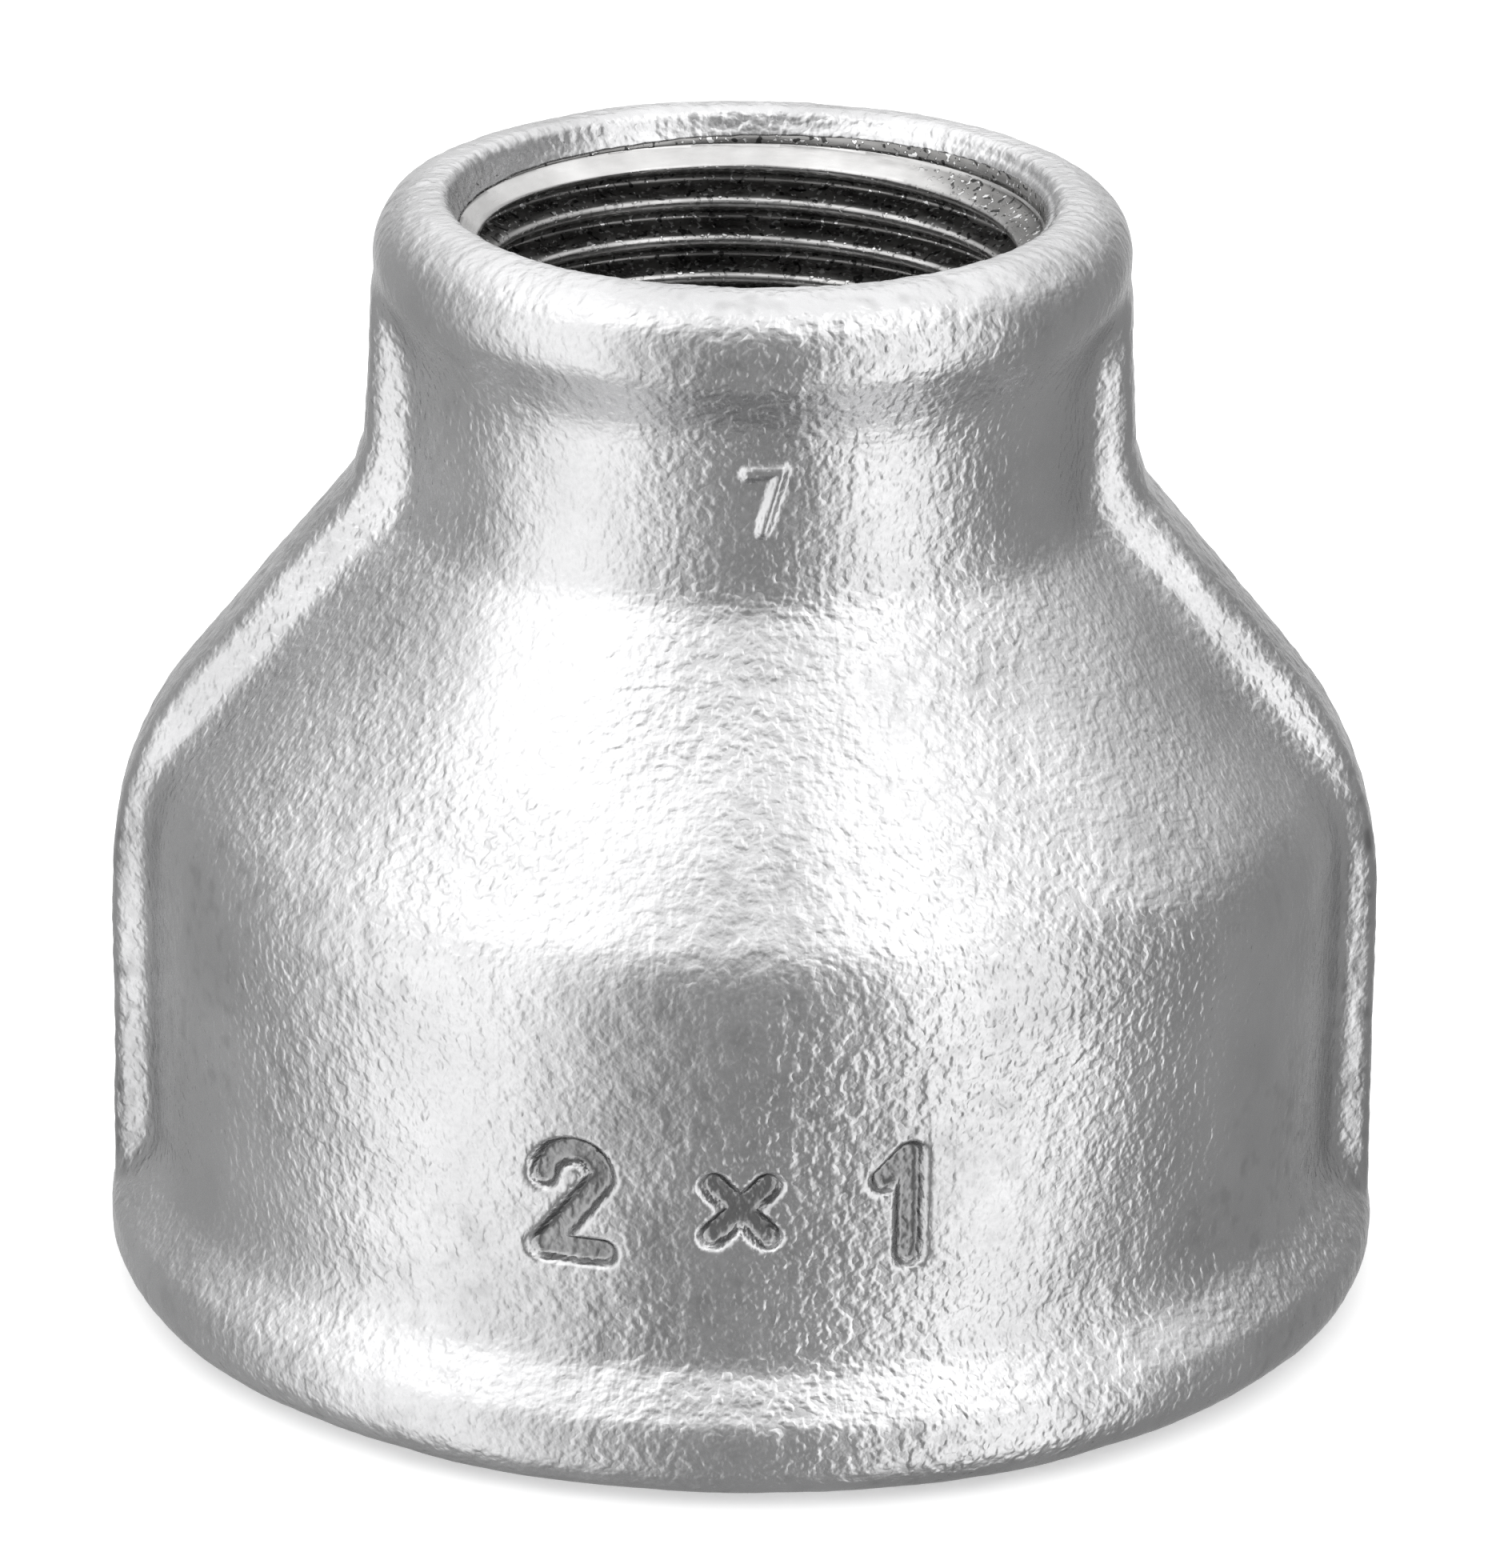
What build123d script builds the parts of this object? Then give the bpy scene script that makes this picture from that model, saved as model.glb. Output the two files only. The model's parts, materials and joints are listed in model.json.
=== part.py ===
from build123d import *
import math
import os

# Concentric reducing socket, 2 inch to 1 inch, one galvanised iron casting.
# Millimetres. The origin is the centre of the large end's face and +Z runs up to the small end.
# The two ribs lie on the X axis and the size mark faces -Y.

# overall
HEIGHT = 65.0
COAT = 0.12  # zinc thickness

# parallel pipe thread, 11 turns to the inch, 55 degree rounded form, right hand
PITCH = 25.4 / 11
FLANK = math.radians(27.5)
THREAD_DEPTH = 0.640327 * PITCH
CREST_ROUND = 0.137329 * PITCH
SMALL_MAJOR = 33.249 / 2
LARGE_MAJOR = 59.614 / 2
SMALL_MINOR = SMALL_MAJOR - THREAD_DEPTH
LARGE_MINOR = LARGE_MAJOR - THREAD_DEPTH
SMALL_THREAD = 16.8  # from the end face to the last full turn
LARGE_THREAD = 23.4
RUN_OUT = 1.5  # where the tap's lead fades into the drilled bore
PLAIN = 2.4  # drilled bore left beyond the run-out
CREST_LIFT = 0.02  # the crests stand this far back from the drilled bore
RIDGE_BASE = 0.3  # the ridges are rooted this far beyond the major diameter
THREAD_START = 77  # degrees from +X where the ridges begin

# large bead, body and small bead
LARGE_BEAD = 37.27
LARGE_BEAD_EDGE = 3.0  # rounding at the end face
LARGE_BEAD_TOP = 4.4
LARGE_BEAD_BROW = 2.6  # rounding where the bead turns in to the body
BODY = 34.4
BODY_START = 8.0
BODY_FILLET = 4.0
CONE_LOW = (31.45, 33.4)
CONE_HIGH = (20.75, 46.2)
SHOULDER = 6.0
NECK = 19.4
NECK_FILLET = 5.0
NECK_TOP = 56.8
UNDER_BEAD = 7.0
SMALL_BEAD = 21.65
SMALL_BEAD_BOTTOM = 60.6
SMALL_BEAD_BROW = 3.5
SMALL_BEAD_EDGE = 3.3

# ribs
RIB_THICK = 5.2
RIB_LOW = 37.1
RIB_KNEE = (36.8, 31.2)
RIB_KNEE_ROUND = 20.0
RIB_SLOPE_HIGH = (22.9, 48.0)
RIB_SLOPE_ROUND = 1.2
RIB_KINK = (22.1, 50.5)
RIB_TOP = 21.6
RIB_EDGE = 1.1
RIB_ROOT = 2.0
RIB_CORE = 5.0  # the ribs begin this near the axis, inside the walls
RIB_ENDS = (3.6, 62.0)  # inside the two beads
SLOPE_NORMAL = (0.77, 0.64)  # outward direction of the ribs' slope

# small mouth: a cast lip, a short machined step and a chamfer
CROWN_IN = 17.65  # inner radius of the rim's flat crown
STEP_RADIUS = SMALL_MAJOR + 0.08
STEP_TOP = HEIGHT - 1.7
STEP_BOTTOM = HEIGHT - 2.05
CHAMFER_BOTTOM = HEIGHT - 2.95

# large mouth: a faced land and a 45 degree chamfer
LAND_OUT = LARGE_BEAD - LARGE_BEAD_EDGE - 0.3  # outer radius of the bare faced ring
LARGE_CHAMFER = 31.0

# cast passage between the threads
PASSAGE_LARGE = 27.5
PASSAGE_SMALL = 14.5
PASSAGE_CONE_LOW = 30.6
PASSAGE_CONE_HIGH = 44.2
PASSAGE_ROUND = 4.0
PASSAGE_ENDS = (20.0, 55.0)  # inside the two bores

# size mark sunk in the body
MARK_DEPTH = 0.6
MARK_STROKE = 1.5
MARK_Z = 16.8
MARK_HEIGHT = 7.4
MARK_GAP = 9.4
MARK_BAND = (5.0, 30.0)  # heights that hold the whole mark

# construction
BIG = 200.0  # larger than the whole part
PAST = 1.0  # how far cutters run past the faces they cut
LEAD = 0.2  # how far the chamfers' cones run on into the bores
LIP_LEAD = 0.3  # how far the lip's cone runs down into the machined step
DRILL_SMALL = (0.7, 0.4)  # the cones the drills leave, inward and along the axis
DRILL_LARGE = (1.0, 0.6)
INNERMOST = 12.0  # nothing of the ribs shows nearer the axis than this
TOUCH = 0.02  # an edge this near a plane lies on it

# derived
SMALL_BORE_END = HEIGHT - SMALL_THREAD - RUN_OUT - PLAIN
LARGE_BORE_END = LARGE_THREAD + RUN_OUT + PLAIN
LIP_SLOPE = (CROWN_IN - STEP_RADIUS) / (HEIGHT - STEP_TOP)
CHAMFER_SLOPE = (STEP_RADIUS - SMALL_MINOR) / (STEP_BOTTOM - CHAMFER_BOTTOM)
CONE_SLOPE = (CONE_LOW[0] - CONE_HIGH[0]) / (CONE_HIGH[1] - CONE_LOW[1])
BODY_TOP = CONE_LOW[1] - (BODY - CONE_LOW[0]) / CONE_SLOPE
NECK_START = CONE_HIGH[1] + (CONE_HIGH[0] - NECK) / CONE_SLOPE


def corner(face, r, z):
    """The vertex of a profile nearest to a radius and height."""
    return sorted(face.vertices(), key=lambda v: math.hypot(v.X - r, v.Z - z))[0]


def rounded(face, r, z, radius):
    return fillet(corner(face, r, z), radius)


def profile(points):
    return Plane.XZ * make_face(Polyline(*points, close=True))


def turned(face):
    """A profile turned about Z, with its seam on the Y axis, clear of the ribs."""
    return Rot(0, 0, 90) * revolve(face, Axis.Z, 360)


def disc(radius, low, high):
    return Pos(0, 0, low) * Cylinder(radius, high - low, align=(Align.CENTER, Align.CENTER, Align.MIN))


def frustum(low_radius, high_radius, low, high):
    return Pos(0, 0, low) * Cone(
        low_radius, high_radius, high - low, align=(Align.CENTER, Align.CENTER, Align.MIN)
    )


def body_profile(inset):
    """Beads, body, cone and neck as one half outline, moved inward by inset."""
    large = LARGE_BEAD - inset
    body = BODY - inset
    neck = NECK - inset
    small = SMALL_BEAD - inset
    top = HEIGHT - inset
    f = profile(
        [
            (0, inset),
            (large, inset),
            (large, LARGE_BEAD_TOP - inset),
            (body, BODY_START - inset),
            (body, BODY_TOP - inset),
            (neck, NECK_START - inset),
            (neck, NECK_TOP + inset),
            (small, SMALL_BEAD_BOTTOM + inset),
            (small, top),
            (0, top),
        ]
    )
    f = rounded(f, large, inset, LARGE_BEAD_EDGE - inset)
    f = rounded(f, large, LARGE_BEAD_TOP - inset, LARGE_BEAD_BROW - inset)
    f = rounded(f, body, BODY_START - inset, BODY_FILLET + inset)
    f = rounded(f, body, BODY_TOP - inset, SHOULDER - inset)
    f = rounded(f, neck, NECK_START - inset, NECK_FILLET + inset)
    f = rounded(f, neck, NECK_TOP + inset, UNDER_BEAD + inset)
    f = rounded(f, small, SMALL_BEAD_BOTTOM + inset, SMALL_BEAD_BROW - inset)
    return rounded(f, small, top, SMALL_BEAD_EDGE - inset)


def rib_profile(inset):
    """The ribs' outline: along the body, down the slope and up the neck."""
    in_r = SLOPE_NORMAL[0] * inset
    in_z = SLOPE_NORMAL[1] * inset
    f = profile(
        [
            (RIB_CORE, RIB_ENDS[0]),
            (RIB_LOW - inset, RIB_ENDS[0]),
            (RIB_KNEE[0] - inset, RIB_KNEE[1] - in_z / 2),
            (RIB_SLOPE_HIGH[0] - in_r, RIB_SLOPE_HIGH[1] - in_z),
            (RIB_KINK[0] - inset, RIB_KINK[1]),
            (RIB_TOP - inset, RIB_ENDS[1]),
            (RIB_CORE, RIB_ENDS[1]),
        ]
    )
    f = rounded(f, RIB_KNEE[0] - inset, RIB_KNEE[1], RIB_KNEE_ROUND - inset)
    return rounded(f, RIB_SLOPE_HIGH[0] - inset, RIB_SLOPE_HIGH[1], RIB_SLOPE_ROUND + inset)


def lies_on_rib_side(edge, thick):
    """True for an edge that runs along one flat side of a rib, outside the bores."""
    points = [edge @ t for t in (0.02, 0.25, 0.5, 0.75, 0.98)]
    return all(abs(abs(p.Y) - thick / 2) < TOUCH and abs(p.X) > INNERMOST for p in points)


def casting_outside(inset):
    """The whole outer form with its ribs, moved inward by inset."""
    thick = RIB_THICK - 2 * inset
    rib = turned(rib_profile(inset)) & Box(BIG, thick, BIG)
    outer = [e for e in rib.edges() if lies_on_rib_side(e, thick)]
    rib = fillet(outer, RIB_EDGE - inset)
    whole = turned(body_profile(inset)) + rib
    roots = [e for e in whole.edges() if lies_on_rib_side(e, thick)]
    return fillet(roots, RIB_ROOT + inset)


def mark_strokes():
    """The size mark as centre lines: a 2, a cross and a 1."""
    h = MARK_HEIGHT - MARK_STROKE
    bow = h * 0.27
    two = [
        ThreePointArc((-bow, h / 2 - bow), (0, h / 2), (bow, h / 2 - bow)),
        Line((bow, h / 2 - bow), (-bow, -h / 2)),
        Line((-bow, -h / 2), (bow * 1.1, -h / 2)),
    ]
    cross = [Line((-1.5, -1.5), (1.5, 1.5)), Line((-1.5, 1.5), (1.5, -1.5))]
    one = [Line((0, -h / 2), (0, h / 2)), Line((0, h / 2), (-1.4, h / 2 - 1.4))]
    return [(two, -MARK_GAP), (cross, 0), (one, MARK_GAP)]


def size_mark(grow):
    """The size mark's pocket: strokes pushed through the body wall, kept outside the pocket's floor."""
    cutter = None
    for lines, shift in mark_strokes():
        for line in lines:
            stroke = trace(line, line_width=MARK_STROKE + 2 * grow)
            bar = extrude(Plane.XZ * Pos(shift, MARK_Z, 0) * stroke, BIG)
            cutter = bar if cutter is None else cutter + bar
    shell = disc(LARGE_BEAD, *MARK_BAND)
    shell -= disc(BODY - MARK_DEPTH - grow, MARK_BAND[0] - PAST, MARK_BAND[1] + PAST)
    return cutter & shell


def thread_ridge(minor, low, high):
    """The helical ridge of one thread, running one turn or more past both ends of its bore."""
    crest = minor + CREST_LIFT
    root = minor + THREAD_DEPTH + RIDGE_BASE
    tangent = crest + CREST_ROUND * (1 - math.sin(FLANK))
    half_tip = CREST_ROUND * math.cos(FLANK)
    half_root = half_tip + (root - tangent) * math.tan(FLANK)
    outline = make_face(
        [
            Line((root, -half_root), (tangent, -half_tip)),
            ThreePointArc((tangent, -half_tip), (crest, 0), (tangent, half_tip)),
            Line((tangent, half_tip), (root, half_root)),
            Line((root, half_root), (root, -half_root)),
        ]
    )
    start = low - PITCH
    turns = math.ceil((high - start) / PITCH) + 1
    path = Pos(0, 0, start) * Helix(PITCH, turns * PITCH, minor)
    ridge = sweep(Pos(0, 0, start) * (Plane.XZ * outline), path=path, is_frenet=True)
    return Rot(0, 0, THREAD_START) * ridge


def passage(outset):
    """The cast flow passage between the two bores, grown by outset."""
    large = PASSAGE_LARGE + outset
    small = PASSAGE_SMALL + outset
    f = profile(
        [
            (0, PASSAGE_ENDS[0]),
            (large, PASSAGE_ENDS[0]),
            (large, PASSAGE_CONE_LOW + outset),
            (small, PASSAGE_CONE_HIGH + outset),
            (small, PASSAGE_ENDS[1]),
            (0, PASSAGE_ENDS[1]),
        ]
    )
    f = rounded(f, large, PASSAGE_CONE_LOW + outset, PASSAGE_ROUND + outset)
    f = rounded(f, small, PASSAGE_CONE_HIGH + outset, PASSAGE_ROUND - outset)
    return turned(f)


def drilled_bores():
    """Both core-drilled bores, each with a short cone at its inner end."""
    inward, deep = DRILL_SMALL
    small = disc(SMALL_MINOR, SMALL_BORE_END, HEIGHT + PAST)
    small += frustum(SMALL_MINOR - inward, SMALL_MINOR, SMALL_BORE_END - deep, SMALL_BORE_END)
    inward, deep = DRILL_LARGE
    large = disc(LARGE_MINOR, -PAST, LARGE_BORE_END)
    large += frustum(LARGE_MINOR, LARGE_MINOR - inward, LARGE_BORE_END, LARGE_BORE_END + deep)
    return small + large


def small_thread_space():
    """The small thread as the space a matching pipe end fills, with the tap's run-out."""
    last = HEIGHT - SMALL_THREAD
    space = disc(SMALL_MAJOR, last, STEP_BOTTOM)
    space += frustum(SMALL_MINOR, SMALL_MAJOR, last - RUN_OUT, last)
    return space - thread_ridge(SMALL_MINOR, last - RUN_OUT, STEP_BOTTOM)


def large_thread_space():
    """The large thread as the space a matching pipe end fills, with the tap's run-out."""
    space = disc(LARGE_MAJOR, 0, LARGE_THREAD)
    space += frustum(LARGE_MAJOR, LARGE_MINOR, LARGE_THREAD, LARGE_THREAD + RUN_OUT)
    return space - thread_ridge(LARGE_MINOR, 0, LARGE_THREAD + RUN_OUT)


def mouth_cuts():
    """The machined step and chamfer at the small end, and the chamfer at the large end."""
    start = CHAMFER_BOTTOM - LEAD
    small = disc(STEP_RADIUS, STEP_BOTTOM, HEIGHT + PAST)
    small += frustum(STEP_RADIUS - (STEP_BOTTOM - start) * CHAMFER_SLOPE, STEP_RADIUS, start, STEP_BOTTOM)
    drop = LARGE_CHAMFER - LARGE_MINOR + LEAD
    large = frustum(LARGE_CHAMFER + PAST, LARGE_CHAMFER - drop, -PAST, drop)
    return small + large


def cast_lip(inset):
    """The space inside the sloping cast lip of the small end's rim, grown by inset."""
    low = STEP_TOP - LIP_LEAD
    high = HEIGHT + PAST
    grow = inset * math.hypot(1, LIP_SLOPE)
    start = STEP_RADIUS + (low - STEP_TOP) * LIP_SLOPE + grow
    return frustum(start, start + (high - low) * LIP_SLOPE, low, high)


def iron_casting():
    body = casting_outside(COAT) - size_mark(COAT) - cast_lip(COAT)
    body += disc(LAND_OUT, 0, LARGE_BEAD_EDGE)
    body = body - passage(COAT) - drilled_bores()
    return body - small_thread_space() - large_thread_space() - mouth_cuts()


def zinc_coat_outside():
    """The zinc over everything cast outside, up to the machined edges."""
    skin = casting_outside(0) - size_mark(0) - cast_lip(0)
    iron = casting_outside(COAT) - size_mark(COAT) - cast_lip(COAT)
    core = disc(LAND_OUT, -PAST, COAT) + disc(STEP_RADIUS, SMALL_BEAD_BOTTOM, HEIGHT + PAST)
    return skin - iron - core


def zinc_coat_inside():
    """The zinc left in the passage, where the drills did not reach."""
    return passage(COAT) - passage(0) - drilled_bores()


def save(node, shape):
    shape.label = node
    export_step(shape, os.path.join("parts", node + ".step"))


os.makedirs("parts", exist_ok=True)
save("iron_casting", iron_casting())
save("zinc_coat_outside", zinc_coat_outside())
save("zinc_coat_inside", zinc_coat_inside())
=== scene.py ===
import json
import math

import bmesh
import bpy
import numpy as np
from mathutils import Matrix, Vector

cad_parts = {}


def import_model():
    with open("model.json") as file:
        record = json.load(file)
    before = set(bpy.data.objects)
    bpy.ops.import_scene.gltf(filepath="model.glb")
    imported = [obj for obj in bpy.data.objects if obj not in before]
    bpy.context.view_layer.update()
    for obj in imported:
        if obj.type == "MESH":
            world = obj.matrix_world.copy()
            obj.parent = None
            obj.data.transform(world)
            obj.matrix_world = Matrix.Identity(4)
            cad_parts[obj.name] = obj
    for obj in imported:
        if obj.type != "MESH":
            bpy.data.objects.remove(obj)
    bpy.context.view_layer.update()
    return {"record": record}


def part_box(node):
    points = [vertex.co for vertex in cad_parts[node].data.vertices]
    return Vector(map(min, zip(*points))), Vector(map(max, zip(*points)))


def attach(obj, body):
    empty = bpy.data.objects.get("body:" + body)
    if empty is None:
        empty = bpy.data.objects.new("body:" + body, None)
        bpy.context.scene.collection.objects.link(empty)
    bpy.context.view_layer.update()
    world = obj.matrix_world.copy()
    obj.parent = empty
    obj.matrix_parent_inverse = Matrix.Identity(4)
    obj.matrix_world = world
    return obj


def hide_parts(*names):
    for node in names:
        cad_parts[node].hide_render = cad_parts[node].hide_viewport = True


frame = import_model()

MM = 0.001
TAU = 2 * math.pi
SEED = 7

# ---------------------------------------------------------------- sizes, in mm unless said
MOUNTS = {m["name"]: m for m in frame["record"]["mounts"]}
SKIN_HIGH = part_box("zinc_coat_outside")[1]
HEIGHT = SKIN_HIGH.z / MM
LARGE_BEAD = SKIN_HIGH.x / MM
BODY = LARGE_BEAD - 2.87
NECK = 19.4
SMALL_BEAD = 21.65

# parallel pipe thread, 11 turns to the inch, 55 degree rounded form
PITCH = 25.4 / 11
FLANK = math.radians(27.5)
DEPTH = 0.640327 * PITCH
CREST_ROUND = 0.137329 * PITCH
SMALL_MINOR = MOUNTS["small_end_thread"]["dims"]["r_mm"]
LARGE_MINOR = MOUNTS["large_end_thread"]["dims"]["r_mm"]
SMALL_MAJOR = SMALL_MINOR + DEPTH
LARGE_MAJOR = LARGE_MINOR + DEPTH
PLAIN = MOUNTS["small_end_thread"]["dims"]["length_mm"]
SMALL_BORE_END = MOUNTS["small_end_thread"]["pos_m"][2] / MM - PLAIN / 2
LARGE_BORE_END = MOUNTS["large_end_thread"]["pos_m"][2] / MM + PLAIN / 2
RUN_OUT = 1.5
SMALL_THREAD_LOW = SMALL_BORE_END + PLAIN
LARGE_THREAD_HIGH = LARGE_BORE_END - PLAIN
SMALL_CREST = 59.2  # height of a crest on +X
LARGE_CREST = 3.3
PER_TURN = 20  # rows of mesh in one turn of a thread
BORE_COLUMNS = 540

# small mouth: where the cast lip meets the machined step, and the chamfer below
LIP = SMALL_MAJOR + 0.1
LIP_Z = HEIGHT - 1.6
LIP_LEAN = 0.5  # how much higher the lip ends on +X: the bore is cut a little off centre
STEP = LIP - 0.02
STEP_LOW = HEIGHT - 2.05
CHAMFER_SLOPE = 1.73
CHAMFER_LOW = STEP_LOW - (STEP - SMALL_MINOR) / CHAMFER_SLOPE
SEAT = HEIGHT - 1.9  # top of the iron under the rim's zinc

# large mouth: a 45 degree chamfer
LARGE_CHAMFER = 31.0
LARGE_CHAMFER_HIGH = LARGE_CHAMFER - LARGE_MINOR
LARGE_THREAD_LOW = LARGE_CHAMFER - LARGE_MAJOR - 0.05

# cast passage between the bores: its iron wall, the zinc sleeve on it and the cone in its middle
PASSAGE_SMALL = SMALL_MINOR - 0.52
PASSAGE_LARGE = LARGE_MINOR - 0.72
SLEEVE_SMALL = SMALL_MINOR - 0.64
SLEEVE_LARGE = LARGE_MINOR - 0.83
SLEEVE_THICK = 0.15
CONE_LOW = 30.6
CONE_HIGH = 44.2

# (radius, height, rounding) corners of the outer half outline, from the large end's land to the lip
BODY_CORNERS = (
    (LARGE_BEAD - 3.3, 0.02, 0),
    (LARGE_BEAD, 0.02, 2.95),
    (LARGE_BEAD, 4.4, 2.6),
    (BODY, 8.0, 4.0),
    (BODY, 29.9, 8.0),
    (NECK, 47.8, 6.0),
    (NECK, 56.6, 7.5),
    (SMALL_BEAD, 60.6, 3.8),
    (SMALL_BEAD, HEIGHT - 0.02, 3.3),
    (LIP + 0.75, HEIGHT - 0.02, 0.9),
    (LIP, LIP_Z, 0),
)
# and of the two ribs' crest, from below the base to above the top
RIB_CORNERS = (
    (37.15, -1.0, 0),
    (36.8, 31.2, 20.0),
    (22.9, 48.0, 1.8),
    (22.1, 50.5, 2.0),
    (21.6, HEIGHT + 1, 0),
)

# ribs: half their width low down and how much it grows upwards, and the low skirt at their feet
RIB_HALF = 3.2
RIB_GROWS = 0.7
RIB_GROWS_FROM, RIB_GROWS_OVER = 16, 30
SKIRT = 1.8
SKIRT_SHARE = 0.16
RIB_FADE = 3.0  # the height they take to fade out below the rim and above the base

# mesh of the zinc skin: columns round it, rows up its face and rows down its back
SKIN_COLUMNS = 1296
SKIN_ROWS = 470
BACK_ROWS = 90
THIN, THICK = 0.55, 1.0  # depth of the skin's back, thick behind the sunk mark
THICK_FROM, THICK_TO = 8, 45
UNDER = 1.2  # depth of the iron's face under the zinc

# cast relief: pairs of height and width of blobs
SWELL = ((0.085, 7.0), (0.035, 3.0))
PEBBLES = ((0.024, 0.95), (0.018, 0.55))
LIP_EDGE = ((0.05, 2.0), (0.03, 0.7))
SLEEVE_BUMPS = ((0.08, 3.0), (0.04, 0.9))
PATCH = 11.0  # width of the patches where pebbles stand out
STREAK, STREAK_WIDTH = 0.035, 0.4
STREAK_REACH = 18  # radius that the rim's streaks are spread on

# marks: place, half width of a stroke, and how far they go into or stand off the face
SUNK_Z = 16.8
SUNK_TALL = 5.9
SUNK_GAP = 9.4  # between the middles of two signs
SUNK_HALF = 0.72
SUNK_DEPTH = 0.8
RAISED_X = 0.9
RAISED_Z = 53.2
RAISED_HALF = 0.3
RAISED_HEIGHT = 0.32
MARK_EDGE = 0.32  # softness of every stroke's edge

# studio: where each light starts and ends and how soft its edges are, in degrees of azimuth or
# elevation, and its strength. Azimuth is 0 on the side of the size mark and grows to the right.
STRIPS = ((-86, -30, 24, 1.08), (29, 69, 17, 1.2))
STRIP_ELEVATION = (-58, 66, 20)
OVERHEAD_FROM, OVERHEAD_TO, OVERHEAD = 24, 76, 1.05
DROP_FROM, DROP_TO, DROP = 50, 100, 18  # how much lower the overhead light reaches behind
SIDE_AZIMUTH, SIDE = (-150, -95, 15), 0.1
BEHIND_FROM, BEHIND_TO, BEHIND = 140, 175, 0.5
BEHIND_ELEVATION = (-30, 40, 15)
BASE = 0.31  # grey everywhere

# floor
FLOOR_HALF = 6.0  # metres
FLOOR_GLOW = 0.35

# camera: place, how far it looks down and leans, in radians, and its lens for a 36 mm sensor
CAMERA_AT = (0.572, -470.64, 207.30)
CAMERA_DOWN = 0.362
CAMERA_LEAN = 0.012
LENS = 198.15


# ---------------------------------------------------------------- plane curves
def fillet_path(corners, step):
    """Points along a path of (r, z, radius) corners, each corner rounded, about step apart."""
    pieces = []
    last = np.array(corners[0][:2], float)
    for before, here, after in zip(corners, corners[1:], corners[2:]):
        p0, p1, p2 = (np.array(c[:2], float) for c in (before, here, after))
        a = (p0 - p1) / np.linalg.norm(p0 - p1)
        b = (p2 - p1) / np.linalg.norm(p2 - p1)
        half = math.acos(float(np.clip(a @ b, -1, 1))) / 2
        cut = here[2] / math.tan(half)
        start = p1 + a * cut
        end = p1 + b * cut
        pieces.append(straight(last, start, step))
        centre = p1 + (a + b) / np.linalg.norm(a + b) * here[2] / math.sin(half)
        pieces.append(arc(centre, start, end, step))
        last = end
    pieces.append(straight(last, np.array(corners[-1][:2], float), step))
    return np.vstack(pieces + [np.array([corners[-1][:2]], float)])


def straight(p, q, step):
    """Points from p up to, but not with, q."""
    n = max(1, round(np.linalg.norm(q - p) / step))
    t = np.arange(n)[:, None] / n
    return p + (q - p) * t


def arc(centre, start, end, step):
    """Points along the shorter arc from start up to, but not with, end."""
    u = start - centre
    v = end - centre
    r = np.linalg.norm(u)
    turn = math.acos(float(np.clip(u @ v / (r * r), -1, 1)))
    sign = math.copysign(1, u[0] * v[1] - u[1] * v[0])
    n = max(2, round(r * turn / step))
    a = sign * turn * np.arange(n) / n
    c, s = np.cos(a), np.sin(a)
    return centre + np.c_[u[0] * c - u[1] * s, u[0] * s + u[1] * c]


def resample(points, count):
    """count points evenly spaced along a path."""
    run = np.r_[0, np.cumsum(np.linalg.norm(np.diff(points, axis=0), axis=1))]
    at = np.linspace(0, run[-1], count)
    return np.c_[np.interp(at, run, points[:, 0]), np.interp(at, run, points[:, 1])]


def tangents(points):
    """Unit directions along a path."""
    along = np.gradient(points, axis=0)
    return along / np.linalg.norm(along, axis=1)[:, None]


def ease(x):
    """0 below 0, 1 above 1, smooth between."""
    x = np.clip(x, 0, 1)
    return x * x * x * (x * (6 * x - 15) + 10)


# ---------------------------------------------------------------- seeded noise
NOISE_SIDE = 64


def noise_at(points, cell, seed):
    """Smooth noise from -1 to 1 at points in mm, with blobs about cell mm wide."""
    table = np.random.default_rng(seed).uniform(-1, 1, (NOISE_SIDE,) * 3)
    place = points / cell + 1000
    corner = np.floor(place).astype(int)
    part = place - corner
    part = part * part * (3 - 2 * part)
    total = 0
    for step in np.ndindex(2, 2, 2):
        share = np.prod(np.where(step, part, 1 - part), axis=-1)
        i, j, k = np.moveaxis((corner + step) % NOISE_SIDE, -1, 0)
        total = total + share * table[i, j, k]
    return total


def relief_at(points, layers, seed):
    """The sum of (height, width) layers of noise, each with its own seed from seed up."""
    return sum(height * noise_at(points, width, seed + k) for k, (height, width) in enumerate(layers))


# ---------------------------------------------------------------- meshes
def new_piece(name, mesh, material):
    """A smooth-shaded object in the scene."""
    mesh.polygons.foreach_set("use_smooth", np.ones(len(mesh.polygons), bool))
    mesh.materials.append(material)
    ob = bpy.data.objects.new(name, mesh)
    bpy.context.scene.collection.objects.link(ob)
    return ob


def mark_tone(piece, name, values):
    """Stores one number a vertex, for the material to read."""
    layer = piece.data.attributes.new(name, "FLOAT", "POINT")
    layer.data.foreach_set("value", np.asarray(values, np.float32))


def cylindrical(theta, r, z):
    """Points at an angle, a radius and a height."""
    return np.stack([r * np.cos(theta), r * np.sin(theta), z + 0 * theta], axis=-1)


def revolved(theta, path):
    """A (columns, rows, 3) grid: a path of (radius, height) turned to every angle of a column theta."""
    return cylindrical(theta, path[:, 0][None, :] + 0 * theta, path[:, 1][None, :] + 0 * theta)


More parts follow.
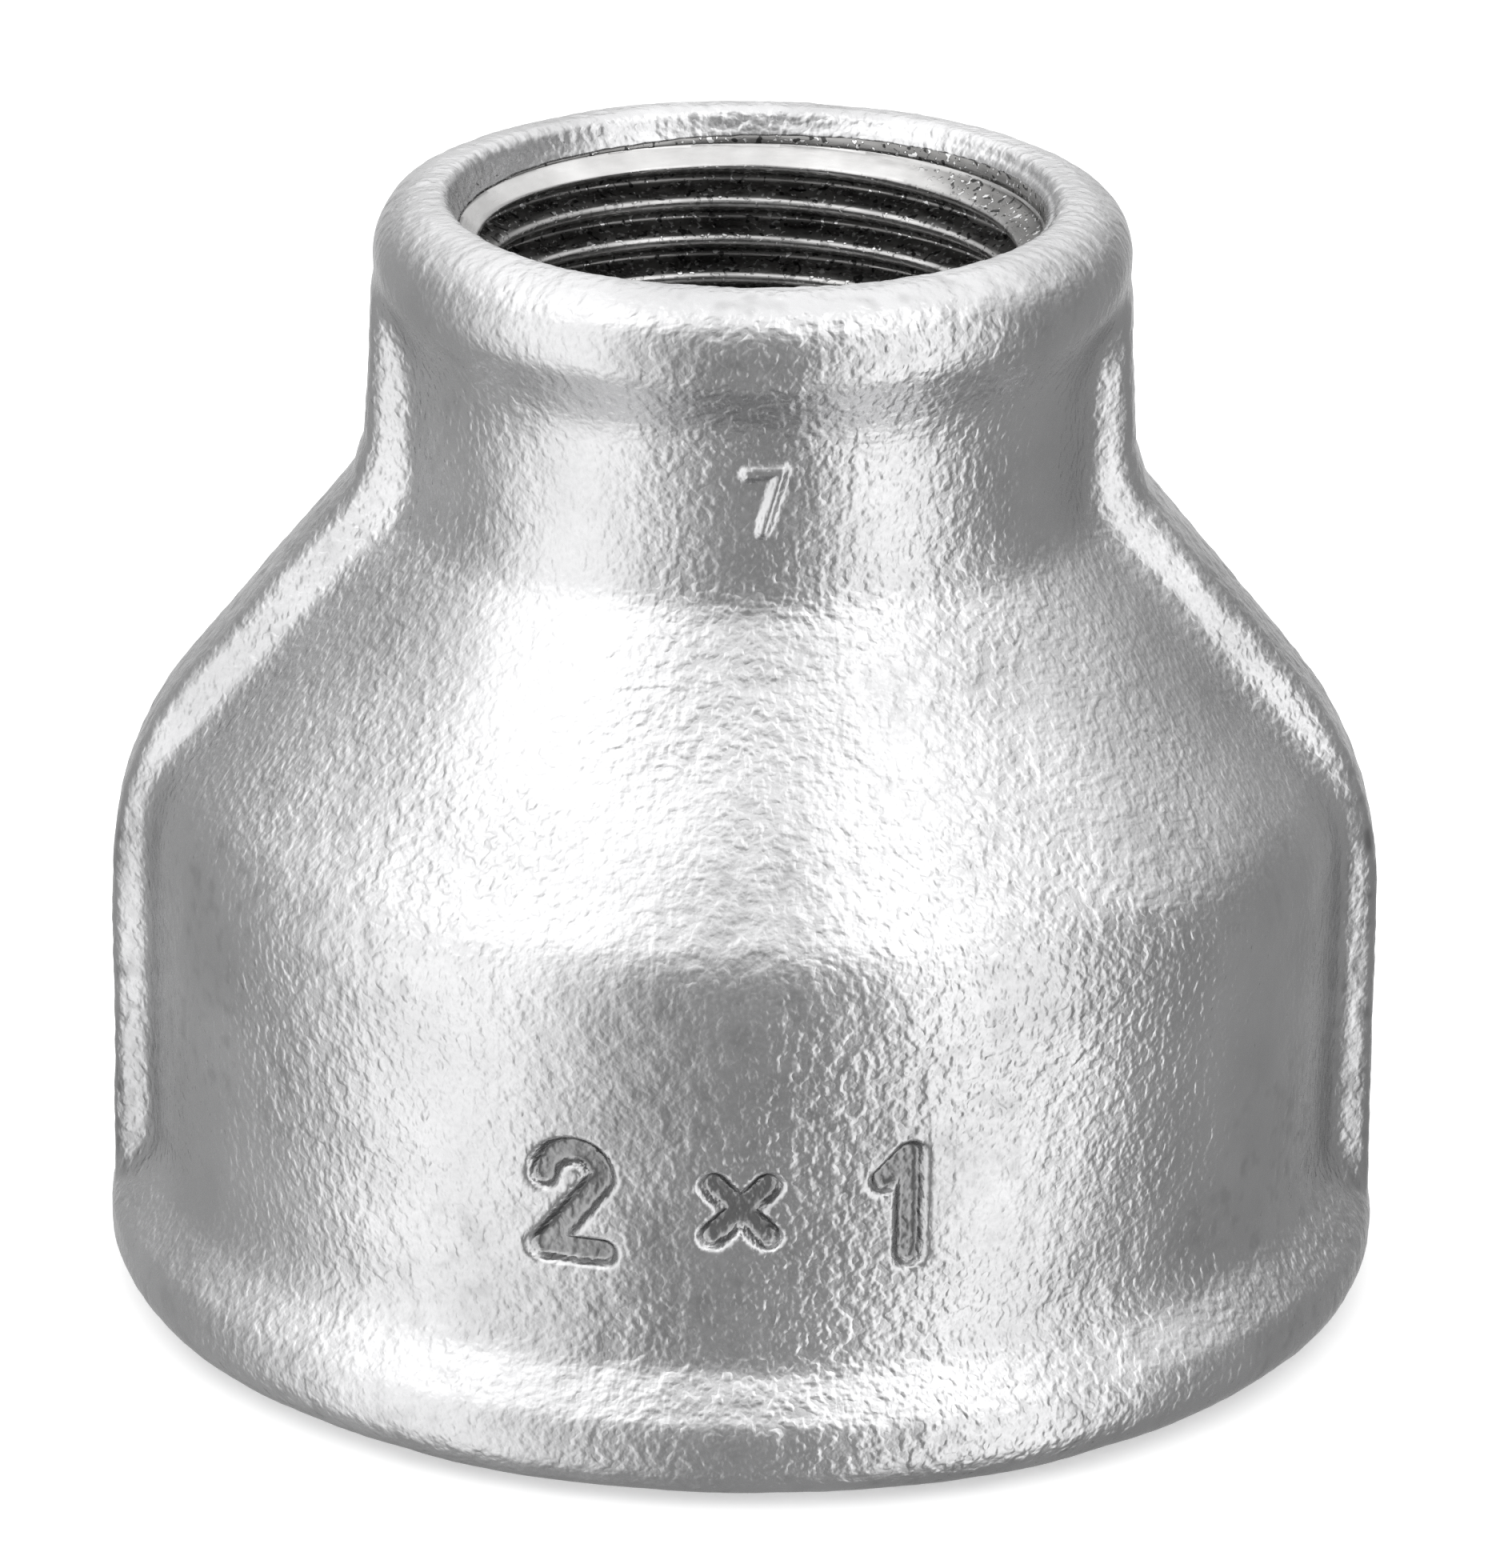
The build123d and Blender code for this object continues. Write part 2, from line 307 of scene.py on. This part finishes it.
def closed_mesh(name, xyz, flip=False):
    """A mesh from a (columns, rows, 3) grid closed both ways, as a torus of profile loops."""
    columns, rows = xyz.shape[:2]
    i = np.arange(columns)[:, None]
    j = np.arange(rows)[None, :]
    after = (i + 1) % columns
    above = (j + 1) % rows
    corners = [i * rows + j, after * rows + j, after * rows + above, i * rows + above]
    if flip:
        corners = [corners[0], corners[3], corners[2], corners[1]]
    mesh = bpy.data.meshes.new(name)
    mesh.from_pydata(xyz.reshape(-1, 3) * MM, [], np.stack(corners, axis=-1).reshape(-1, 4))
    mesh.validate()
    mesh.update()
    return mesh


def open_wall(xyz):
    """Vertices and faces of a (columns, rows, 3) grid with open edges."""
    columns, rows = xyz.shape[:2]
    a = np.arange(columns - 1)[:, None] * rows + np.arange(rows - 1)[None, :]
    return xyz.reshape(-1, 3), np.stack([a, a + 1, a + rows + 1, a + rows], axis=-1).reshape(-1, 4)


def welded_mesh(name, walls):
    """One mesh from several walls whose edges meet."""
    verts = np.vstack([w[0] for w in walls]) * MM
    start = np.cumsum([0] + [len(w[0]) for w in walls])
    faces = np.vstack([w[1] + o for w, o in zip(walls, start)])
    mesh = bpy.data.meshes.new(name)
    mesh.from_pydata(verts, [], faces)
    bm = bmesh.new()
    bm.from_mesh(mesh)
    bmesh.ops.remove_doubles(bm, verts=bm.verts, dist=2e-6)
    bmesh.ops.dissolve_degenerate(bm, edges=bm.edges, dist=1e-7)
    bmesh.ops.recalc_face_normals(bm, faces=bm.faces)
    bm.to_mesh(mesh)
    bm.free()
    return mesh


# ---------------------------------------------------------------- the casting's outer form
def rib_reach(z):
    """How far out the ribs stand at each height."""
    path = fillet_path(RIB_CORNERS, 0.25)
    return np.interp(z, path[:, 1], path[:, 0])


def rib_weight(across, z):
    """1 over a rib, 0 away from it: soft sides on a low skirt, wider on the slope and the neck."""
    half = RIB_HALF + RIB_GROWS * ease((z - RIB_GROWS_FROM) / RIB_GROWS_OVER)
    steep = 1 / (1 + (across / half) ** 8)
    skirt = 1 / (1 + (across / (half + SKIRT)) ** 4)
    return (1 - SKIRT_SHARE) * steep + SKIRT_SHARE * skirt


def lip_shift(theta):
    """How much higher than LIP_Z the cast lip ends."""
    return LIP_LEAN * np.cos(theta) + relief_at(cylindrical(theta, LIP, 0), LIP_EDGE, SEED + 5)


def outward(grid):
    """Unit normals of a (columns, rows, 3) grid closed round the axis, pointing away from the metal."""
    up = np.gradient(grid, axis=1)
    around = np.roll(grid, -1, 0) - np.roll(grid, 1, 0)
    normal = np.cross(around, up)
    return normal / np.linalg.norm(normal, axis=-1, keepdims=True)


def skin():
    """The zinc skin as a closed shell: the cast surface outside and a plain face against the iron."""
    turn = np.arange(SKIN_COLUMNS)[:, None] / SKIN_COLUMNS * TAU
    theta = turn - 0.2 * np.sin(2 * turn)  # closer columns at the ribs
    face, dirt = cast_face(theta)
    grid = np.concatenate([face, skin_back(theta)], axis=1)
    mesh = closed_mesh("zinc_skin_outside", grid)
    piece = new_piece("zinc_skin_outside", mesh, zinc_material("zinc_outside", 1.0))
    tone = np.zeros(grid.shape[:2])
    # the face carries the dirt and painted shade tone; the skin's back gets none
    tone[:, :SKIN_ROWS] = dirt
    mark_tone(piece, "dirt", tone.ravel())
    return piece


def cast_face(theta):
    """The cast surface with its ribs, marks and grain, and how much dirt and painted shade darken each
    point of it.
    """
    outline = resample(fillet_path(BODY_CORNERS, 0.1), SKIN_ROWS)
    run = np.r_[0, np.cumsum(np.linalg.norm(np.diff(outline, axis=0), axis=1))]
    r = outline[:, 0][None, :] + 0 * theta
    z = outline[:, 1][None, :] + 0 * theta
    lip = ease((run[None, :] - run[-1] + 1.4) / 1.4)
    z = z + lip * lip_shift(theta)

    # the ribs, which fade out at the rim and the base
    gain = np.maximum(rib_reach(z) - r, 0)
    fade = ease((HEIGHT - RIB_FADE - z) / RIB_FADE) * ease((z - 0.8) / RIB_FADE)
    weight = rib_weight(np.abs(r * np.sin(theta)), z)
    on_rib = weight * ease(gain / 1.5)
    smooth = cylindrical(theta, r + weight * gain * fade, z)

    # the cast grain: streaks across the rim, a broad swell, and pebbles that stand out on patches and ribs
    rim = ease((z - 62.0) / 2.5) * (1 - lip)
    spread = cylindrical(theta, STREAK_REACH + 0 * z, 0.3 * r)
    streaks = STREAK * noise_at(spread, STREAK_WIDTH, SEED + 7) * rim
    patches = ease(0.5 + 1.1 * noise_at(smooth, PATCH, SEED))
    swell = relief_at(smooth, SWELL, SEED + 1)
    pebble = relief_at(smooth, PEBBLES, SEED + 3)
    ends = ease(run[None, :] / 2.0) * ease((run[-1] - run[None, :]) / 0.9)
    rough = np.maximum(patches, 2.2 * on_rib)
    grain = (swell + pebble * (0.5 + 0.5 * rough) + streaks) * ends

    sunk = sunk_mark(theta, z)
    relief = grain - SUNK_DEPTH * sunk + RAISED_HEIGHT * raised_mark(theta, z)
    face = smooth + outward(smooth) * np.minimum(relief, RAISED_HEIGHT)[..., None]

    # kept inside the bead's radius and the two ends
    wide = np.hypot(face[..., 0], face[..., 1])
    face[..., :2] *= np.minimum(1, (LARGE_BEAD - 0.012) / wide)[..., None]
    face[..., 2] = np.clip(face[..., 2], 0.02, HEIGHT - 0.01)

    # dirt and painted shade in the sunk mark, a darker colour in the hollows between the pebbles, and a
    # darker colour on the ribs' lower half
    pits = np.clip(-pebble / 0.02 - 0.2, 0, 1)
    darker_low_on_ribs = on_rib * ease((34 - z) / 8) * (0.3 + 0.5 * pits)
    return face, np.clip(sunk + 0.3 * pits * patches + darker_low_on_ribs, 0, 1)


def skin_back(theta):
    """The skin's plain inner face, from the lip down to the base, deeper behind the sunk mark."""
    line = resample(fillet_path(BODY_CORNERS, 0.1), BACK_ROWS)[::-1]
    along = tangents(line)
    behind_mark = ease((line[:, 1] - THICK_FROM) / 4) * ease((THICK_TO - line[:, 1]) / 4)
    depth = THIN + (THICK - THIN) * behind_mark
    r = line[:, 0] + depth * along[:, 1]
    z = np.clip(line[:, 1] - depth * along[:, 0], 0.6, HEIGHT - 0.6)
    return revolved(theta, np.c_[r, z])


def stroke(x, z, line, half, edge):
    """1 inside a round-ended stroke, 0 outside, with a soft edge."""
    x0, z0, x1, z1 = line
    dx, dz = x1 - x0, z1 - z0
    t = np.clip(((x - x0) * dx + (z - z0) * dz) / (dx * dx + dz * dz), 0, 1)
    gap = np.hypot(x - x0 - t * dx, z - z0 - t * dz)
    return ease((half + edge - gap) / (2 * edge))


def strokes(x, z, lines, half):
    """The union of several strokes."""
    cut = 0 * x
    for line in lines:
        cut = np.maximum(cut, stroke(x, z, line, half, MARK_EDGE))
    return cut


def sunk_mark(theta, z):
    """The size mark sunk in the front of the body: a 2, a cross and a 1."""
    tall = SUNK_TALL
    bow = tall * 0.27
    x = BODY * np.cos(theta) + 0 * z
    up = z - SUNK_Z
    turns = [math.pi * (1 - k / 10) for k in range(11)]
    ring = [(bow * math.cos(t), tall / 2 - bow + bow * math.sin(t)) for t in turns]
    two = [(*p, *q) for p, q in zip(ring, ring[1:])]
    two += [(bow, tall / 2 - bow, -bow, -tall / 2), (-bow, -tall / 2, bow * 1.1, -tall / 2)]
    cross = [(-1.5, -1.5, 1.5, 1.5), (-1.5, 1.5, 1.5, -1.5)]
    one = [(0, -tall / 2, 0, tall / 2), (0, tall / 2, -1.4, tall / 2 - 1.4)]
    cut = 0 * x
    for lines, middle in ((two, -SUNK_GAP), (cross, 0), (one, SUNK_GAP)):
        cut = np.maximum(cut, strokes(x - middle, up, lines, SUNK_HALF))
    return cut * (np.sin(theta) < 0)


def raised_mark(theta, z):
    """A small raised figure 7 on the front of the neck, as a pattern number."""
    x = NECK * np.cos(theta) - RAISED_X + 0 * z
    seven = [(-1.0, 1.5, 0.9, 1.7), (0.9, 1.7, -0.1, -1.8)]
    return strokes(x, z - RAISED_Z, seven, RAISED_HALF) * (np.sin(theta) < 0)


# ---------------------------------------------------------------- the machined bores
def thread_radius(phase, minor):
    """Wall radius at a phase from 0 to 1 through one turn of the thread, crest at 0."""
    major = minor + DEPTH
    axial = np.abs((phase + 0.5) % 1 - 0.5) * PITCH
    tip = CREST_ROUND * math.cos(FLANK)
    tangent = minor + CREST_ROUND * (1 - math.sin(FLANK))
    crest = minor + CREST_ROUND - np.sqrt(np.maximum(CREST_ROUND**2 - axial**2, 0))
    flank = tangent + (axial - tip) / math.tan(FLANK)
    root = major - CREST_ROUND + np.sqrt(np.maximum(CREST_ROUND**2 - (PITCH / 2 - axial) ** 2, 0))
    return np.where(axial < tip, crest, np.where(PITCH / 2 - axial < tip, root, flank))


def helical_wall(low, high, minor, crest_at, ceiling, floor_at):
    """A threaded wall from low to high, cut between the radii ceiling(z) and floor_at(z)."""
    part = (np.arange(BORE_COLUMNS + 1) / BORE_COLUMNS)[:, None]
    turns = math.ceil((high - low) / PITCH) + 1
    lattice = np.arange(-PER_TURN, turns * PER_TURN + 1) / PER_TURN
    z = np.clip(low + (lattice[None, :] + part) * PITCH, low, high)
    r = thread_radius((z - crest_at) / PITCH - part, minor)
    r = np.minimum(r, ceiling(z))
    r = np.maximum(r, floor_at(z))
    return open_wall(cylindrical(part * TAU, r, z))


def turned_wall(path, lip_lift=None):
    """A turned wall along a path of (radius, height). lip_lift(theta) raises the points at LIP_Z."""
    path = np.array(path)
    theta = np.arange(BORE_COLUMNS + 1)[:, None] / BORE_COLUMNS * TAU
    grid = revolved(theta, path)
    if lip_lift:
        grid[..., 2] += (path[:, 1] == LIP_Z)[None, :] * lip_lift(theta)
    return open_wall(grid)


def small_thread():
    """The small thread's wall, with its run-out below and its chamfer above."""

    def run_out(z):
        return np.minimum(SMALL_MINOR + (z - SMALL_THREAD_LOW) / RUN_OUT * DEPTH, SMALL_MAJOR)

    def chamfer(z):
        return np.maximum(SMALL_MINOR, SMALL_MINOR + (z - CHAMFER_LOW) * CHAMFER_SLOPE)

    return helical_wall(SMALL_THREAD_LOW, STEP_LOW, SMALL_MINOR, SMALL_CREST, run_out, chamfer)


def large_thread():
    """The large thread's wall, with its run-out above and its chamfer below."""

    def run_out(z):
        return np.minimum(LARGE_MINOR + (LARGE_THREAD_HIGH - z) / RUN_OUT * DEPTH, LARGE_MAJOR)

    def chamfer(z):
        return np.maximum(LARGE_MINOR, LARGE_MINOR + (LARGE_CHAMFER_HIGH - z))

    return helical_wall(LARGE_THREAD_LOW, LARGE_THREAD_HIGH, LARGE_MINOR, LARGE_CREST, run_out, chamfer)


def under_zinc():
    """The casting's face under the zinc: a path inside the outer form, clear of both ends."""
    path = resample(fillet_path(BODY_CORNERS, 0.2), 60)
    along = tangents(path)
    path = path - UNDER * np.c_[along[:, 1], -along[:, 0]]
    keep = (path[:, 1] > 1.5) & (path[:, 1] < SEAT - 0.3) & (path[:, 0] > SMALL_MAJOR + UNDER)
    return path[keep]


def oil_and_shade_tone(mesh):
    """Oil and painted shade at each vertex: the grooves fully, the crests a little so their lighter colour
    is a painted highlight, the chamfers and faces not, and the step wall under the lip nearly fully as
    painted shade.
    """
    place = np.empty(len(mesh.vertices) * 3, np.float32)
    mesh.vertices.foreach_get("co", place)
    x, y, z = place.reshape(-1, 3).T / MM
    wide = np.hypot(x, y)
    cone = SMALL_MINOR + np.maximum(z - CHAMFER_LOW, 0) * CHAMFER_SLOPE
    groove = ease((wide - cone - 0.05) / 0.25) * (z < STEP_LOW - 0.02)
    small = 0.25 + 0.75 * ease((wide - SMALL_MINOR) / (0.45 * DEPTH))
    large = 0.25 + 0.75 * ease((wide - LARGE_MINOR) / (0.45 * DEPTH))
    below = ease((CHAMFER_LOW + 0.1 - z) / 0.2) * small
    above = ease((z - LARGE_CHAMFER_HIGH) / 0.4) * large
    # the step wall under the lip gets the dark oily colour as painted shade
    step = (z > STEP_LOW + 0.02) * 0.9
    return np.where(z > LARGE_BORE_END, np.maximum(np.maximum(groove, below), step), above)


def iron():
    """The bare iron: both threads, their chamfers and run-outs, and the iron under the zinc."""
    inner_lip = [
        (STEP, STEP_LOW),
        (STEP, STEP_LOW + 0.05),
        (STEP, LIP_Z),
        (STEP + 0.5, LIP_Z),
        (STEP + 1.6, SEAT),
    ]
    passage = [
        (SMALL_MINOR, SMALL_THREAD_LOW),
        (SMALL_MINOR, SMALL_BORE_END),
        (PASSAGE_SMALL, SMALL_BORE_END - 0.35),
        (PASSAGE_SMALL + 0.5, CONE_HIGH - 0.9),
        (PASSAGE_LARGE + 0.4, CONE_LOW + 0.1),
        (PASSAGE_LARGE + 0.2, CONE_LOW - 2.0),
        (PASSAGE_LARGE, LARGE_BORE_END + 0.45),
        (LARGE_MINOR, LARGE_BORE_END),
        (LARGE_MINOR, LARGE_THREAD_HIGH),
    ]
    land = [
        (LARGE_CHAMFER - LARGE_THREAD_LOW, LARGE_THREAD_LOW),
        (LARGE_CHAMFER, 0),
        (LARGE_BEAD - 3.2, 0),
        (LARGE_BEAD - 2.6, 0.9),
    ]
    walls = [
        small_thread(),
        large_thread(),
        turned_wall(inner_lip, lambda theta: lip_shift(theta) + 0.02),
        turned_wall(passage),
        turned_wall(np.vstack([land, under_zinc(), [(STEP + 1.6, SEAT)]])),
    ]
    mesh = welded_mesh("iron_with_threads", walls)
    piece = new_piece("iron_with_threads", mesh, iron_material())
    mark_tone(piece, "oil", oil_and_shade_tone(mesh))
    return piece


def liner():
    """The zinc left in the passage between the bores, as a thin closed sleeve."""
    columns, rows = 360, 90
    corners = [
        (SLEEVE_LARGE, LARGE_BORE_END + 0.55, 0),
        (SLEEVE_LARGE, CONE_LOW, 4.0),
        (SLEEVE_SMALL, CONE_HIGH, 4.0),
        (SLEEVE_SMALL, CONE_HIGH + 0.01, 0),
    ]
    line = resample(fillet_path(corners, 0.2), rows)
    theta = np.arange(columns)[:, None] / columns * TAU
    along = tangents(line)
    across = np.c_[-along[:, 1], along[:, 0]]
    smooth = revolved(theta, line)
    s = np.arange(rows) / rows
    bump = relief_at(smooth, SLEEVE_BUMPS, SEED + 9) * (ease(s / 0.06) * ease((1 - s) / 0.06))[None, :]
    r = line[:, 0][None, :] + bump * across[:, 0]
    z = line[:, 1][None, :] + bump * across[:, 1]
    back = revolved(theta, line[::-1] - SLEEVE_THICK * across[::-1])
    grid = np.concatenate([cylindrical(theta, r, z), back], axis=1)
    mesh = closed_mesh("zinc_liner_inside", grid, flip=True)
    # zinc_inside is the same zinc at 0.6 of its brightness: painted shade inside the passage
    return new_piece("zinc_liner_inside", mesh, zinc_material("zinc_inside", 0.6))


# ---------------------------------------------------------------- materials
# blobs to the metre of each noise
CLOUDS, PATCHES, GRAINS, FINE_GRAINS = 110, 75, 1700, 3600
CUT_CLOUDS, TURNING, SPECKS, PITS = 240, 5200, 3300, 2300

# reflectance, dark and light where a tone is cloudy
ZINC = (0.58, 0.74)
# dark grey for dirt and painted shade: the sunk mark, the pebbles' hollows and the ribs' lower half
DIRT_AND_SHADE = (0.13, 0.13, 0.13)
CUT_DARK, CUT_LIGHT = (0.52, 0.515, 0.51), (0.74, 0.735, 0.73)
# colours where the oil and painted shade tone is full, dark and light where cloudy
OILY_SHADED_DARK, OILY_SHADED_LIGHT = (0.16, 0.158, 0.155), (0.34, 0.335, 0.33)
SWARF = (0.85, 0.85, 0.85)
PIT = (0.03, 0.03, 0.03)


def nodes_of(name):
    """A new material, its node tree and its shader."""
    material = bpy.data.materials.new(name)
    material.use_nodes = True
    tree = material.node_tree
    return material, tree, tree.nodes["Principled BSDF"]


def add(tree, kind, **values):
    """A node with its sockets or settings given by name."""
    node = tree.nodes.new(kind)
    for key, value in values.items():
        if key in node.inputs:
            node.inputs[key].default_value = value
        else:
            setattr(node, key, value)
    return node


def noise(tree, coords, scale, detail, rough=0.5):
    """Noise with scale blobs to the metre."""
    node = add(tree, "ShaderNodeTexNoise", Scale=scale, Detail=detail, Roughness=rough)
    tree.links.new(coords, node.inputs["Vector"])
    return node.outputs["Fac"]


def ramp(tree, source, stops):
    """A colour ramp with (position, grey or colour) stops."""
    node = tree.nodes.new("ShaderNodeValToRGB")
    elements = node.color_ramp.elements
    while len(elements) < len(stops):
        elements.new(0.5)
    for element, (at, value) in zip(elements, stops):
        element.position = at
        element.color = (*value, 1) if isinstance(value, tuple) else (value, value, value, 1)
    tree.links.new(source, node.inputs["Fac"])
    return node.outputs["Color"]


def bump_chain(tree, heights):
    """Bump nodes one after another, each (height socket, distance in metres, strength)."""
    last = None
    for height, distance, strength in heights:
        node = add(tree, "ShaderNodeBump", Distance=distance, Strength=strength)
        tree.links.new(height, node.inputs["Height"])
        if last is not None:
            tree.links.new(last, node.inputs["Normal"])
        last = node.outputs["Normal"]
    return last


def tone_of(tree, name):
    """The number that mark_tone stored at each vertex."""
    return add(tree, "ShaderNodeAttribute", attribute_name=name).outputs["Fac"]


def maths(tree, operation, a, b=None):
    """One maths node; a and b are sockets or numbers."""
    node = add(tree, "ShaderNodeMath", operation=operation)
    for socket, value in zip(node.inputs, (a, b)):
        if isinstance(value, (int, float)):
            socket.default_value = value
        elif value is not None:
            tree.links.new(value, socket)
    return node.outputs[0]


def mixed(tree, factor, first, second):
    """Colour first where factor is 0, second where it is 1."""
    node = add(tree, "ShaderNodeMix", data_type="RGBA")
    tree.links.new(factor, node.inputs[0])
    for socket, colour in ((node.inputs[6], first), (node.inputs[7], second)):
        if isinstance(colour, tuple):
            socket.default_value = (*colour, 1)
        else:
            tree.links.new(colour, socket)
    return node.outputs[2]


def zinc_material(name, brightness):
    """Dull silvery zinc: a cloudy tone, pebbles in patches, finer grain, and dirt and painted shade in
    sunk places.
    """
    material, tree, shader = nodes_of(name)
    coords = tree.nodes.new("ShaderNodeTexCoord").outputs["Object"]
    broad = noise(tree, coords, CLOUDS, 3)
    pebble = noise(tree, coords, GRAINS, 1, 0.4)
    small = noise(tree, coords, FINE_GRAINS, 1, 0.4)
    patches = ramp(tree, noise(tree, coords, PATCHES, 2), [(0.38, 0.45), (0.62, 1.0)])
    low, high = (tone * brightness for tone in ZINC)
    clean = ramp(tree, broad, [(0.3, (low, low, low * 1.01)), (0.7, (high, high, high * 1.01))])
    # the dirt and painted shade tone darkens the colour towards the dark grey
    dirt_and_shade_share = maths(tree, "MULTIPLY", tone_of(tree, "dirt"), 0.62)
    tree.links.new(mixed(tree, dirt_and_shade_share, clean, DIRT_AND_SHADE), shader.inputs["Base Color"])
    rough = ramp(tree, small, [(0.25, 0.20), (0.75, 0.34)])
    tree.links.new(rough, shader.inputs["Roughness"])
    shader.inputs["Metallic"].default_value = 1.0
    blobs = maths(tree, "MULTIPLY", ramp(tree, pebble, [(0.42, 0.0), (0.68, 1.0)]), patches)
    normal = bump_chain(tree, [(blobs, 0.00005, 0.9), (small, 0.00003, 0.7)])
    tree.links.new(normal, shader.inputs["Normal"])
    return material


def iron_material():
    """Cut iron: fine turning lines everywhere, and oil with pits and specks of swarf on the threads; the
    oil tone also paints shade in the grooves and on the step wall, and leaves the crests lighter as a
    painted highlight.
    """
    material, tree, shader = nodes_of("bare_iron")
    coords = tree.nodes.new("ShaderNodeTexCoord").outputs["Object"]
    flat = add(tree, "ShaderNodeMapping", Scale=(0.12, 0.12, 1))
    tree.links.new(coords, flat.inputs["Vector"])
    lines = noise(tree, flat.outputs["Vector"], TURNING, 2)
    broad = noise(tree, coords, CUT_CLOUDS, 3)
    specks = ramp(tree, noise(tree, coords, SPECKS, 1, 0.3), [(0.62, 0.0), (0.66, 1.0)])
    pits = ramp(tree, noise(tree, coords, PITS, 1, 0.3), [(0.64, 0.0), (0.67, 0.9)])
    # oil on the threads together with painted shade in the grooves and on the step wall, and a painted
    # highlight of lighter crests
    oil = tone_of(tree, "oil")
    cut = ramp(tree, broad, [(0.3, CUT_DARK), (0.7, CUT_LIGHT)])
    oily_shaded = ramp(tree, broad, [(0.3, OILY_SHADED_DARK), (0.7, OILY_SHADED_LIGHT)])
    dots = maths(tree, "MULTIPLY", specks, oil)
    speckled = mixed(tree, dots, mixed(tree, oil, cut, oily_shaded), SWARF)
    where = maths(tree, "MINIMUM", maths(tree, "MULTIPLY", oil, 1.5), 1.0)
    pitted = mixed(tree, maths(tree, "MULTIPLY", pits, where), speckled, PIT)
    tree.links.new(pitted, shader.inputs["Base Color"])
    rough = ramp(tree, lines, [(0.3, 0.20), (0.7, 0.42)])
    tree.links.new(rough, shader.inputs["Roughness"])
    shader.inputs["Metallic"].default_value = 1.0
    normal = bump_chain(tree, [(lines, 0.00003, 0.6), (dots, 0.00012, 1.0)])
    tree.links.new(normal, shader.inputs["Normal"])
    return material


# ---------------------------------------------------------------- studio
def floor():
    """A light table: the pale sheet the part stands on, lit a little from below."""
    corners = [(x * FLOOR_HALF, y * FLOOR_HALF, 0) for x, y in ((-1, -1), (1, -1), (1, 1), (-1, 1))]
    mesh = bpy.data.meshes.new("floor")
    mesh.from_pydata(corners, [], [(0, 1, 2, 3)])
    ob = bpy.data.objects.new("floor", mesh)
    bpy.context.scene.collection.objects.link(ob)
    material, _, shader = nodes_of("floor")
    shader.inputs["Base Color"].default_value = (0.9, 0.9, 0.9, 1)
    shader.inputs["Roughness"].default_value = 0.9
    shader.inputs["Emission Color"].default_value = (1, 1, 1, 1)
    shader.inputs["Emission Strength"].default_value = FLOOR_GLOW
    mesh.materials.append(material)
    ob.location.z = -0.1 * MM
    ob.visible_glossy = False


def rise(tree, value, start, end):
    """0 where value is below start, 1 above end, smooth between. start may be the larger."""
    node = add(tree, "ShaderNodeMapRange", interpolation_type="SMOOTHSTEP")
    tree.links.new(value, node.inputs["Value"])
    node.inputs["From Min"].default_value = start
    node.inputs["From Max"].default_value = end
    return node.outputs["Result"]


def window(tree, value, low, high, soft):
    """1 between low and high, 0 outside, with soft edges."""
    above = rise(tree, value, low - soft, low + soft)
    below = rise(tree, value, high + soft, high - soft)
    return maths(tree, "MULTIPLY", above, below)


def world():
    """A soft studio round the part: a strip light each side, a large one overhead, and grey gaps."""
    w = bpy.data.worlds.new("studio")
    bpy.context.scene.world = w
    w.use_nodes = True
    tree = w.node_tree
    direction = add(tree, "ShaderNodeSeparateXYZ")
    tree.links.new(tree.nodes.new("ShaderNodeTexCoord").outputs["Generated"], direction.inputs[0])
    x, y, z = direction.outputs
    to_degrees = 180 / math.pi
    azimuth = maths(tree, "ARCTAN2", x, maths(tree, "MULTIPLY", y, -1.0))
    azimuth = maths(tree, "MULTIPLY", azimuth, to_degrees)
    elevation = maths(tree, "MULTIPLY", maths(tree, "ARCSINE", z), to_degrees)
    away = maths(tree, "ABSOLUTE", azimuth)

    upright = window(tree, elevation, *STRIP_ELEVATION)
    lights = []
    for low, high, soft, strength in STRIPS:
        strip = maths(tree, "MULTIPLY", window(tree, azimuth, low, high, soft), upright)
        lights.append((strip, strength))
    drop = maths(tree, "MULTIPLY", rise(tree, away, DROP_FROM, DROP_TO), DROP)
    lifted = maths(tree, "ADD", elevation, drop)
    lights.append((rise(tree, lifted, OVERHEAD_FROM, OVERHEAD_TO), OVERHEAD))
    lights.append((window(tree, azimuth, *SIDE_AZIMUTH), SIDE))
    behind = rise(tree, away, BEHIND_FROM, BEHIND_TO)
    behind = maths(tree, "MULTIPLY", behind, window(tree, elevation, *BEHIND_ELEVATION))
    lights.append((behind, BEHIND))

    total = BASE
    for light, strength in lights:
        total = maths(tree, "ADD", total, maths(tree, "MULTIPLY", light, strength))
    back = tree.nodes["Background"]
    tree.links.new(total, back.inputs["Color"])
    back.inputs["Strength"].default_value = 1.0


def camera():
    """The camera at the photo's viewpoint, fitted to the part's outline."""
    data = bpy.data.cameras.new("camera")
    data.lens = LENS
    data.sensor_width = 36
    data.sensor_fit = "AUTO"
    data.clip_start, data.clip_end = 0.01, 20
    ob = bpy.data.objects.new("camera", data)
    bpy.context.scene.collection.objects.link(ob)
    tilt = Matrix.Rotation(math.pi / 2 - CAMERA_DOWN, 4, "X")
    lean = Matrix.Rotation(CAMERA_LEAN, 4, "Z")
    ob.matrix_world = Matrix.Translation([c * MM for c in CAMERA_AT]) @ tilt @ lean
    bpy.context.scene.camera = ob


skin_piece = skin()
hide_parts("zinc_coat_outside")
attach(skin_piece, "root")

iron_piece = iron()
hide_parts("iron_casting")
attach(iron_piece, "root")

liner_piece = liner()
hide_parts("zinc_coat_inside")
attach(liner_piece, "root")

floor()
world()
camera()
bpy.context.scene.view_settings.view_transform = "Standard"
